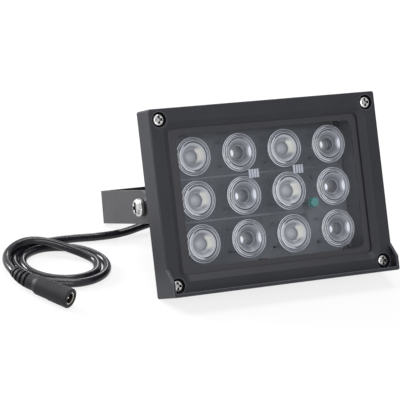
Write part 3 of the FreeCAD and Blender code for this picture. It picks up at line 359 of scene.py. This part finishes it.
class Finish(Tree):
    """A procedural material: a base shader and the patterns that drive it. Radii, reaches and the
    depths of bumps are in metres, and places are in millimetres."""

    def __init__(self, name, **settings):
        self.material = bpy.data.materials.new(name)
        self.material.use_nodes = True
        super().__init__(self.material.node_tree, "ShaderNodeOutputMaterial")
        self.principled = self.node("ShaderNodeBsdfPrincipled", **settings)
        self.base = self.principled.outputs["BSDF"]
        self.surface(self.base)
        self.place = self.node("ShaderNodeTexCoord").outputs["Object"]

    def colour(self, value):
        self.put(self.principled.inputs["Base Color"], value)

    def rough(self, value):
        self.put(self.principled.inputs["Roughness"], value)

    def normal(self, value):
        self.put(self.principled.inputs["Normal"], value)

    def noise(self, scale, detail=3.0, rough=0.5):
        node = self.node(
            "ShaderNodeTexNoise", Scale=scale, Detail=detail, Roughness=rough, Vector=self.place
        )
        return Field(self, node.outputs["Fac"])

    def bump(self, height, strength, depth, after=None):
        """The normal over a bumpy surface, which can itself follow another normal."""
        node = self.node("ShaderNodeBump", Strength=strength, Distance=depth, Height=height)
        if after is not None:
            self.put(node.inputs["Normal"], after)
        return node.outputs["Normal"]

    def edges(self, radius):
        """The normal over slightly rounded edges."""
        node = self.node("ShaderNodeBevel", Radius=radius)
        node.samples = 4
        return node.outputs["Normal"]

    def openness(self, reach, inside=False):
        """How free a point is of surfaces within a reach, before it or inside its solid."""
        node = self.node("ShaderNodeAmbientOcclusion", Distance=reach)
        node.samples = 8
        node.inside = inside
        return Field(self, node.outputs["AO"])

    def turned_place(self, origin, axis, angle):
        """The X, Y and Z of a point, in millimetres, in a frame with this origin that is turned
        about an axis. The origin is given in metres."""
        scale = 1 / MM
        node = self.node(
            "ShaderNodeMapping",
            Vector=self.place,
            Scale=(scale,) * 3,
            Rotation=[angle if axis == name else 0.0 for name in "XYZ"],
            Location=-(Matrix.Rotation(angle, 3, axis) @ (origin * scale)),
        )
        split = self.node("ShaderNodeSeparateXYZ", Vector=node.outputs["Vector"])
        return [Field(self, split.outputs[name]) for name in "XYZ"]

    def lamp_place(self):
        """Where a point is in the lamp's own frame, in millimetres."""
        return self.turned_place(LAMP_AT, "X", LEAN)


# What the materials follow on the lamp, in millimetres. Depths run back from the bezel's face.
# Outer edges in front of this depth get a painted highlight
EDGE_HIGHLIGHT_DEPTH = 1.2
CAVITY_HALF_WIDTH, CAVITY_HALF_HEIGHT = 59.1, 39.6
CAVITY_FRONT, CAVITY_BACK = 8.1, 22.6

BORDER_HALF_WIDTH, BORDER_HALF_HEIGHT = 55.6, 36.0
BORDER_CORNER = 4.0
BORDER_CENTRE = 0.6
PRINT_DEPTH = 5.3

TRACK_HEIGHTS = (12.0, -11.5)
TRACK_HALF_WIDTH = 0.45

LENS_COLUMNS, LENS_ROWS = 4, 3
LENS_PITCH_ACROSS, LENS_PITCH_UP = 28.8, 23.8
LENS_FACES_END = 8.6
FLANGE_BACK = 9.6
LENS_FRONT_END = 13.0
BOARD_FRONT = 20.4
LEGS_INNER_RADIUS = 8.2
BOWL_RADIUS = 7.2
CUP_RADIUS = 7.4
FROSTED_DISC_RADIUS, CLEAR_DISC_RADIUS = 3.3, 3.75
FROSTED_DISC_REACH, CLEAR_DISC_REACH = 4.3, 3.8
FROSTED_DISC_LEFT = 1.0
CRESCENT_LEFT, CRESCENT_HEIGHT = 2.3, 0.7
SHEER_REACH = 10.0
RIM_WAVER = 0.12
EMITTER_PACKAGE_RADIUS = 4.02

# The rims of a lens, where painted highlights run, from one radius to another
LENS_RIMS = ((10.15, 10.6), (9.3, 9.55), (8.35, 8.7), (7.2, 7.45))
# Arcs of painted highlight and an arc of painted shade round a lens: angle from the right in
# degrees, reach as a cosine, radius, half width and power
FROSTED_HIGHLIGHT_ARCS = ((200, 0.5, 8.05, 0.65, 0.8),)
FROSTED_SHADE_ARC = (180, 0.4, 9.0, 0.5, 0.45)
CLEAR_HIGHLIGHT_ARCS = (
    (130, 0.9, 9.45, 0.38, 1.0),
    (238, 0.9, 9.25, 0.36, 1.0),
    (20, 0.75, 8.0, 0.35, 0.6),
)
CLEAR_SHADE_ARC = (185, 0.3, 8.6, 0.55, 0.6)
# Glints painted in a clear bowl, as painted highlights: middle, half width and half height, and
# power
CLEAR_PAINTED_GLINTS = (
    ((6.6, 0.0), (0.8, 3.1), 1.0),
    ((6.2, 0.0), (1.3, 4.0), 0.35),
    ((-3.9, -0.1), (1.25, 2.3), 1.0),
)

# The socket: a point on its axis and the way that it points, the ring between its pin and the
# bore of its sleeve that is painted dark as painted shade, and how far along the axis that ring
# starts
SOCKET_AT = Vector((-124.127, -35.622, 5.5))
SOCKET_WAY = Vector((-0.4909, 0.8712, 0.0))
PAINTED_SHADE_RING = (1.1, 2.97)
PAINTED_SHADE_FROM = -1.85


# Materials


def coated(name, dark, light, roughness, grain, depth, cavity=None, specular=0.5, edge_highlight=None):
    """Powder-coated metal: fine orange peel, faint blotches and handled patches. The cavity behind
    the glass can be painted paler, as painted light where little light reaches its walls, and
    outer front edges can be painted lighter, as painted highlight."""
    finish = Finish(name, Specular_IOR_Level=specular)
    patches = finish.noise(38.0, 4.0, 0.6)
    shade = patches.vary(dark, light)
    # Painted light: the cavity's walls are painted paler, standing in for light that barely reaches
    # them
    if cavity:
        x, y, z = finish.lamp_place()
        beside = abs(x).below(CAVITY_HALF_WIDTH) * abs(z).below(CAVITY_HALF_HEIGHT)
        inside = beside * y.within(CAVITY_FRONT, CAVITY_BACK)
        shade = inside.blend(shade, patches.vary(*cavity))
    # Painted highlight: outer front edges are painted lighter, where light catches them
    if edge_highlight:
        _, y, _ = finish.lamp_place()
        edge = finish.openness(0.0008, inside=True).ramp((0.5, 0.9), (0.88, 0.0))
        shade = (edge * y.below(EDGE_HIGHLIGHT_DEPTH)).blend(shade, edge_highlight)
    speckle = finish.noise(2600.0, 2.0, 0.6)
    flecks = speckle.ramp((0.35, (0.82, 0.82, 0.82, 1.0)), (0.65, (1.12, 1.12, 1.12, 1.0)))
    finish.colour(finish.blend(1.0, shade, flecks, "MULTIPLY"))
    finish.rough(finish.noise(70.0, 5.0, 0.65).vary(roughness - 0.06, roughness + 0.07))
    peel = finish.noise(grain, 2.0)
    finish.normal(finish.bump(peel, 0.35, depth, finish.edges(0.0003)))
    return finish.material


def moulded(name, dark, light, roughness, grain=1800.0, depth=0.00004, edge=0.00025, specular=0.5):
    """Moulded plastic or rubber with a fine matt grain."""
    finish = Finish(name, Specular_IOR_Level=specular)
    finish.colour(finish.noise(120.0, 4.0, 0.6).vary(dark, light))
    finish.rough(finish.noise(260.0, 4.0, 0.6).vary(roughness - 0.05, roughness + 0.06))
    finish.normal(finish.bump(finish.noise(grain, 2.0), 0.4, depth, finish.edges(edge)))
    return finish.material


def plated(name, colour, roughness):
    """Bright plated steel with faint machining marks and spots, and painted shade in its recesses.
    """
    finish = Finish(name, Metallic=1.0)
    dark = tuple(part * 0.8 for part in colour[:3]) + (1.0,)
    bright = finish.noise(900.0, 5.0, 0.7).vary(dark, colour, until=0.65)
    # Painted shade: recesses such as the screws' cross slots are painted dark
    free_of_painted_shade = finish.openness(0.0018).ramp((0.5, 0.0), (0.86, 1.0))
    finish.colour(free_of_painted_shade.blend(tint(34, 32, 30), bright))
    finish.rough(finish.noise(420.0, 4.0).vary(roughness - 0.05, roughness + 0.1))
    finish.normal(finish.bump(finish.noise(3000.0), 0.12, 0.00002, finish.edges(0.0002)))
    return finish.material


def pane():
    """The front glass: clear, with a dark border printed on its front."""
    finish = Finish("glass_pane", Roughness=0.35, Specular_IOR_Level=0.5)
    finish.colour(finish.noise(1500.0, 2.0).vary(tint(33, 33, 38), tint(41, 41, 47)))
    x, y, z = finish.lamp_place()
    past_x = (abs(x - BORDER_CENTRE) - (BORDER_HALF_WIDTH - BORDER_CORNER)).at_least(0.0)
    past_z = (abs(z) - (BORDER_HALF_HEIGHT - BORDER_CORNER)).at_least(0.0)
    printed = distance(past_x, past_z).above(BORDER_CORNER) * y.below(PRINT_DEPTH)
    smear = finish.noise(60.0, 3.0, 0.6).vary((0.94, 0.945, 0.96, 1.0), (0.97, 0.975, 0.985, 1.0))
    clear = finish.shader("ShaderNodeBsdfTransparent", Color=smear)
    gloss = finish.shader("ShaderNodeBsdfGlossy", Roughness=0.03)
    mirrored = Field(finish, finish.node("ShaderNodeFresnel", IOR=1.25).outputs["Fac"])
    inner_side = Field(finish, finish.node("ShaderNodeNewGeometry").outputs["Backfacing"])
    sheer = finish.mix(mirrored * (1.0 - inner_side), clear, gloss)
    finish.surface(finish.mix(printed, sheer, finish.base))
    return finish.material


class OnLens:
    """Where a point is on the lens that it belongs to, in millimetres: across and up from the axis
    of the lens, its distance from that axis, and its depth behind the bezel's face."""

    def __init__(self, finish):
        x, self.depth, z = finish.lamp_place()
        left, low = LENS_COLUMNS / 2 * LENS_PITCH_ACROSS, LENS_ROWS / 2 * LENS_PITCH_UP
        self.across = (x + left) % LENS_PITCH_ACROSS - LENS_PITCH_ACROSS / 2
        self.up = (z + low) % LENS_PITCH_UP - LENS_PITCH_UP / 2
        self.radius = distance(self.across, self.up)

    def spot(self, middle, half, power):
        """An oval spot with soft edges, from a power at its middle down to nothing."""
        wide = (self.across - middle[0]) / half[0]
        tall = (self.up - middle[1]) / half[1]
        return (wide * wide + tall * tall).ramp((0.55, power), (1.0, 0.0))

    def arc(self, angle, reach, middle, half_width, power):
        """A part of a ring, round an angle from the right in degrees. It is full within its reach,
        which is a cosine, and fades beyond."""
        way = math.radians(angle)
        cosine = (self.across * math.cos(way) + self.up * math.sin(way)) / self.radius.at_least(0.1)
        part = cosine.ramp((max(0.0, reach - 0.3), 0.0), (reach, 1.0))
        ring = (abs(self.radius - middle) / half_width).ramp((0.3, 1.0), (1.0, 0.0))
        return part * ring * power


def lens_marks(finish, lens, frosted):
    """Painted highlights on the rims of a lens and in arcs, the rims brighter on the left, and an
    arc of painted shade, all on its faces at the front.
    """
    # Painted highlight: thin bright rings on the rims, their radii wavering a little
    wavering_radius = lens.radius + (finish.noise(160.0, 2.0) - 0.5) * RIM_WAVER
    rims = largest(*(wavering_radius.within(low, high) for low, high in LENS_RIMS))
    # Painted light: the rims' highlights are brighter on the left, where the light comes from
    painted_light_side = (lens.across * 0.047 + 0.5).ramp((0.0, 1.0), (0.25, 0.9), (0.6, 0.62), (1.0, 0.9))
    # Painted highlights: bright arcs where light catches the lens
    arcs = [lens.arc(*arc) for arc in (FROSTED_HIGHLIGHT_ARCS if frosted else CLEAR_HIGHLIGHT_ARCS)]
    # Painted shade: a dark arc on the left of the lens
    painted_shade_arc = lens.arc(*(FROSTED_SHADE_ARC if frosted else CLEAR_SHADE_ARC))
    faces = lens.depth.below(LENS_FACES_END)
    return largest(rims * painted_light_side, *arcs) * faces, painted_shade_arc * faces


def frosted_bowl(lens, bowl):
    """The colours in a frosted bowl, and how far they cover what is behind: a pale disc, painted as
    the emitter seen through the bowl, a cup round it and a cream crescent on the right, which is
    painted reflection and painted light from the left."""
    # The emitter seen through the bowl, painted on it, shifted left and lighter at its middle
    disc = (distance(lens.across + FROSTED_DISC_LEFT, lens.up) / FROSTED_DISC_REACH).ramp(
        (0.0, tint(170, 170, 174)),
        (0.5, tint(156, 156, 160)),
        (0.78, tint(134, 134, 138)),
        (1.0, tint(96, 96, 100)),
    )
    out = lens.radius / CUP_RADIUS
    cup = out.ramp(
        (0.45, tint(120, 121, 124)),
        (0.56, tint(162, 163, 166)),
        (0.72, tint(132, 133, 136)),
        (0.92, tint(194, 195, 198)),
    )
    # Painted reflection and painted light: a cream crescent on the bowl's right wall
    level = (abs(lens.up - CRESCENT_HEIGHT) / CUP_RADIUS).ramp((0.34, 1.0), (0.62, 0.0))
    band = out.ramp((0.45, 0.0), (0.54, 1.0), (0.7, 1.0), (0.86, 0.75), (0.96, 0.25))
    crescent = level * lens.across.above(CRESCENT_LEFT) * band
    cup = crescent.blend(cup, tint(232, 230, 219))
    inside = lens.radius.above(FROSTED_DISC_RADIUS).blend(disc, cup)
    return inside, bowl * 0.78 + 0.08


def clear_bowl(lens, bowl):
    """The colours in a clear bowl, and how far they cover what is behind: a dark disc, painted as
    the emitter seen through the bowl, a cup round it and bright glints, which are painted
    highlights."""
    disc = (lens.radius / CLEAR_DISC_REACH).ramp(
        (0.0, tint(112, 113, 120)),
        (0.35, tint(84, 85, 92)),
        (0.8, tint(70, 71, 78)),
        (1.0, tint(96, 98, 106)),
    )
    cup = (lens.radius / CUP_RADIUS).ramp(
        (0.5, tint(170, 172, 177)),
        (0.62, tint(112, 114, 119)),
        (0.95, tint(172, 174, 179)),
    )
    # Painted highlights: bright glints on the bowl's walls
    glints = largest(*(lens.spot(*glint) for glint in CLEAR_PAINTED_GLINTS))
    inside = lens.radius.above(CLEAR_DISC_RADIUS).blend(disc, cup)
    return glints.blend(inside, tint(240, 241, 246)), bowl * 0.55 + 0.06 + glints * 0.38


def acrylic(name, frosted):
    """A moulded lens with painted highlights on its rims and in arcs, and an arc of painted shade.
    A frosted one has a satin bowl over a pale emitter, with a painted reflection on its right, a
    clear one a thin haze with painted highlights. Its legs are nearly clear, and where they meet
    the board they take the board's tone. Light for what lies behind it passes straight through."""
    finish = Finish(name, Transmission_Weight=1.0, IOR=1.4)
    finish.colour(finish.noise(500.0).vary((0.90, 0.905, 0.92, 1.0), (0.96, 0.965, 0.98, 1.0)))
    finish.rough(finish.noise(800.0).vary(0.02, 0.06))
    lens = OnLens(finish)
    legs = lens.depth.above(FLANGE_BACK) * lens.radius.above(LEGS_INNER_RADIUS)
    front = lens.depth.below(LENS_FRONT_END) * (1.0 - legs)
    bowl = lens.radius.below(BOWL_RADIUS) * front
    ends = legs * lens.depth.above(BOARD_FRONT)

    rims, painted_shade_arc = lens_marks(finish, lens, frosted)
    grain = finish.noise(2200.0, 2.0)
    haze = grain.vary(tint(104, 106, 110), tint(118, 120, 124))
    # Painted highlight: the near-white colour of the rims' bright lines
    rim_highlight = grain.vary(tint(236, 237, 242), tint(250, 251, 255))
    inside, cover = frosted_bowl(lens, bowl) if frosted else clear_bowl(lens, bowl)
    tone = bowl.blend(haze, inside)
    # Painted shade: the dark arc on the lens's left
    tone = painted_shade_arc.blend(tone, tint(40, 41, 46))
    tone = rims.blend(tone, rim_highlight)
    tone = ends.blend(tone, tint(82, 85, 88))
    cover = (largest(cover, painted_shade_arc, rims * 0.9) * front).at_least(ends)

    pass_through = legs.blend((0.9, 0.905, 0.925, 1.0), (0.99, 0.99, 0.99, 1.0))
    sheer = finish.shader("ShaderNodeBsdfTransparent", Color=pass_through)
    satin = finish.shader("ShaderNodeBsdfPrincipled", Base_Color=tone, Roughness=0.36)
    sheer_share = (lens.radius / SHEER_REACH).ramp((0.7, 0.55), (0.86, 0.92)).at_least(legs)
    glass = finish.mix(sheer_share, finish.base, sheer)
    lit = finish.mix(cover, glass, satin)
    finish.surface(finish.mix(finish.ray("Is Shadow Ray"), lit, sheer))
    return finish.material


def circuit_board():
    """Dark solder mask over copper, painted paler at its lower right and a little at its upper
    left, as painted light where the cavity shades it, with faint tracks across it that end toward
    the right."""
    finish = Finish("board_mask", Specular_IOR_Level=0.4)
    x, _, z = finish.lamp_place()
    weave = finish.noise(900.0, 4.0)
    mask = weave.vary(tint(75, 78, 81), tint(89, 92, 96))
    pale = weave.vary(tint(112, 115, 118), tint(126, 129, 133))
    # Painted light: the mask is painted paler toward the lower right and a little toward the upper
    # left
    painted_light_slope = x * 0.0088 + z * -0.0126 + 0.5
    mask = painted_light_slope.ramp((0.0, 0.2), (0.3, 0.0), (0.68, 0.0), (1.0, 0.7)).blend(mask, pale)
    tracks = largest(*(abs(z - height).below(TRACK_HALF_WIDTH) for height in TRACK_HEIGHTS))
    tracks = tracks * (x * 0.01 + 0.5).ramp((0.55, 1.0), (0.6, 0.5), (0.88, 0.4), (0.92, 0.0))
    finish.colour(tracks.blend(mask, tint(112, 115, 121)))
    finish.rough(finish.noise(300.0).vary(0.38, 0.5))
    finish.normal(finish.bump(weave, 0.2, 0.00003))
    return finish.material


def emitter_finish():
    """A cream package on darkened solder tabs."""
    finish = Finish("emitter_cream", Specular_IOR_Level=0.5)
    cloud = finish.noise(700.0)
    cream = cloud.vary(tint(205, 202, 186), tint(228, 226, 214))
    package = OnLens(finish).radius.below(EMITTER_PACKAGE_RADIUS)
    finish.colour(package.blend(tint(96, 98, 102), cream))
    finish.rough(finish.noise(900.0).vary(0.22, 0.34))
    finish.normal(finish.bump(cloud, 0.15, 0.00003))
    return finish.material


def contact_finish():
    """Plated contacts of the socket: a bright rim and pin, and a sleeve painted dark inside, as
    painted shade deeper in its bore.
    """
    finish = Finish("contact_plating", Metallic=0.3)
    x, y, z = finish.turned_place(SOCKET_AT * MM, "Z", math.atan2(SOCKET_WAY.x, SOCKET_WAY.y))
    # Painted shade: the sleeve's bore is painted dark beyond its first stretch
    shaded_bore = distance(x, z).within(*PAINTED_SHADE_RING) * y.above(PAINTED_SHADE_FROM)
    marks = finish.noise(900.0, 5.0, 0.7)
    bright = marks.vary(tint(206, 202, 184), tint(236, 232, 216), until=0.65)
    finish.colour(shaded_bore.blend(bright, marks.vary(tint(26, 25, 22), tint(38, 36, 30))))
    finish.rough(finish.noise(420.0, 4.0).vary(0.24, 0.36))
    finish.normal(finish.bump(finish.noise(3000.0), 0.1, 0.00002))
    return finish.material


def cord_finish():
    """Glossy soft sheath with faint handling marks."""
    finish = Finish("cord_gloss", Specular_IOR_Level=0.16, Coat_Weight=0.3, Coat_Roughness=0.1)
    finish.colour(finish.noise(120.0).vary(tint(22, 22, 27), tint(29, 29, 35)))
    finish.rough(finish.noise(160.0).vary(0.2, 0.3))
    finish.normal(finish.bump(finish.noise(600.0, 2.0), 0.02, 0.00003))
    return finish.material


FINISHES = {
    "bezel_coat": coated(
        "bezel_coating", tint(24, 25, 31), tint(31, 32, 39), 0.46, 1500.0, 0.00005,
        # its outer front edges get a painted highlight
        specular=0.36, edge_highlight=tint(86, 87, 94),
    ),
    "housing_coat": coated(
        "housing_coating", tint(36, 36, 40), tint(46, 46, 50), 0.52, 1100.0, 0.00007,
        # paler colours for the cavity's walls, as painted light
        cavity=(tint(112, 113, 118), tint(126, 127, 132)),
    ),
    "bracket_coat": coated(
        "bracket_coating", tint(38, 38, 43), tint(48, 48, 53), 0.44, 1500.0, 0.00005
    ),
    "gasket_rubber": moulded("gasket_black", tint(24, 24, 25), tint(34, 34, 35), 0.7),
    "glass": pane(),
    "board": circuit_board(),
    "thermal_film": moulded("thermal_grey", tint(150, 156, 165), tint(170, 176, 184), 0.6),
    "screw_steel": plated("bright_steel", tint(214, 214, 214), 0.22),
    "dark_screw": moulded("blackened_steel", tint(70, 70, 74), tint(88, 88, 92), 0.35, edge=0.0002),
    "emitter_package": emitter_finish(),
    "lens_clear": acrylic("lens_bright", False),
    "lens_frosted": acrylic("lens_haze", True),
    "sensor_resin": moulded("sensor_green", tint(62, 114, 112), tint(84, 136, 133), 0.2),
    "ceramic": moulded("ceramic_white", tint(204, 207, 214), tint(226, 229, 236), 0.4),
    "chip_package": moulded("chip_grey", tint(80, 81, 85), tint(94, 95, 99), 0.5),
    "gland_plastic": moulded(
        "gland_nylon", tint(30, 30, 32), tint(40, 40, 43), 0.42, grain=1400.0, depth=0.00006
    ),
    "washer_plastic": moulded("washer_nylon", tint(34, 34, 36), tint(46, 46, 48), 0.45),
    "lead_red": moulded("lead_red", tint(104, 20, 16), tint(126, 28, 22), 0.4),
    "lead_black": moulded("lead_black", tint(24, 24, 26), tint(36, 36, 38), 0.35),
    "socket_plastic": moulded(
        "socket_moulding", tint(18, 18, 22), tint(27, 27, 32), 0.55,
        grain=1600.0, depth=0.00007, specular=0.25,
    ),
    "socket_insulator": moulded("socket_core", tint(20, 20, 22), tint(32, 32, 34), 0.55),
    "contact_metal": contact_finish(),
}
for entry in frame["record"]["subparts"]:
    slot = entry["material_slot"]
    if slot in FINISHES:
        for place in NODES[entry["node"]].material_slots:
            place.material = FINISHES[slot]
make_cord(cord_finish())


# Floor, surroundings and lamps, in metres

WHITE = (1.0, 1.0, 1.0, 1.0)
PALE = (0.8, 0.8, 0.8, 1.0)
FLOOR_HALF = 6.0
FLOOR_DROP = 0.0002
FLOOR_GLOW = 0.8
FILL_COLOUR = (0.93, 0.96, 1.0, 1.0)
FILL_STRENGTH = 0.4

# Soft lamps: name, place, width and height, power in watts, and what they are aimed at
LAMP_HEAD = (0.0, 0.0, 0.04)
CORD_SIDE = (-0.1, 0.0, 0.0)
LIGHTS = (
    ("light_left", (-1.0, 1.05, 0.62), (0.8, 0.6), 39.0, LAMP_HEAD),
    ("light_top", (-0.1, 0.45, 1.3), (1.0, 0.8), 9.0, LAMP_HEAD),
    ("light_low", (-0.3, -1.3, 0.12), (0.8, 0.2), 2.0, LAMP_HEAD),
    ("light_front", (-0.2, -1.2, 0.95), (0.8, 0.6), 9.0, LAMP_HEAD),
    ("light_spark", (0.32, 0.2, 1.2), (0.25, 0.25), 2.5, LAMP_HEAD),
    ("light_back", (0.45, 0.95, 0.6), (0.25, 0.25), 1.5, CORD_SIDE),
)


def make_floor():
    """White paper just below the object. It keeps the object's shadow."""
    corners = [(-1, -1), (1, -1), (1, 1), (-1, 1)]
    mesh = bpy.data.meshes.new("floor")
    points = [(x * FLOOR_HALF, y * FLOOR_HALF, -FLOOR_DROP) for x, y in corners]
    mesh.from_pydata(points, [], [(0, 1, 2, 3)])
    floor = add_object("floor", mesh)
    finish = Finish("floor_paper", Roughness=0.9, Specular_IOR_Level=0.1)
    finish.colour(finish.noise(14.0).vary((0.80, 0.80, 0.80, 1.0), (0.82, 0.82, 0.82, 1.0)))
    white = finish.shader("ShaderNodeEmission", Color=WHITE, Strength=1.0)
    finish.surface(finish.mix(finish.seen() * FLOOR_GLOW, finish.base, white))
    mesh.materials.append(finish.material)


def make_world():
    """A weak fill from all round, and a pale background where it is seen."""
    world = bpy.data.worlds.new("studio")
    bpy.context.scene.world = world
    world.use_nodes = True
    tree = Tree(world.node_tree, "ShaderNodeOutputWorld")
    fill = tree.shader("ShaderNodeBackground", Color=FILL_COLOUR, Strength=FILL_STRENGTH)
    pale = tree.shader("ShaderNodeBackground", Color=PALE, Strength=1.0)
    tree.surface(tree.mix(tree.seen(), fill, pale))


def soft_light(name, at, size, power, aim):
    data = bpy.data.lights.new(name, "AREA")
    data.shape = "RECTANGLE"
    data.size, data.size_y = size
    data.energy = power
    light = add_object(name, data)
    light.location = at
    way = Vector(aim) - Vector(at)
    light.rotation_mode = "QUATERNION"
    light.rotation_quaternion = way.to_track_quat("-Z", "Y")


make_floor()
make_world()
for light in LIGHTS:
    soft_light(*light)

bpy.context.scene.view_settings.view_transform = "Standard"
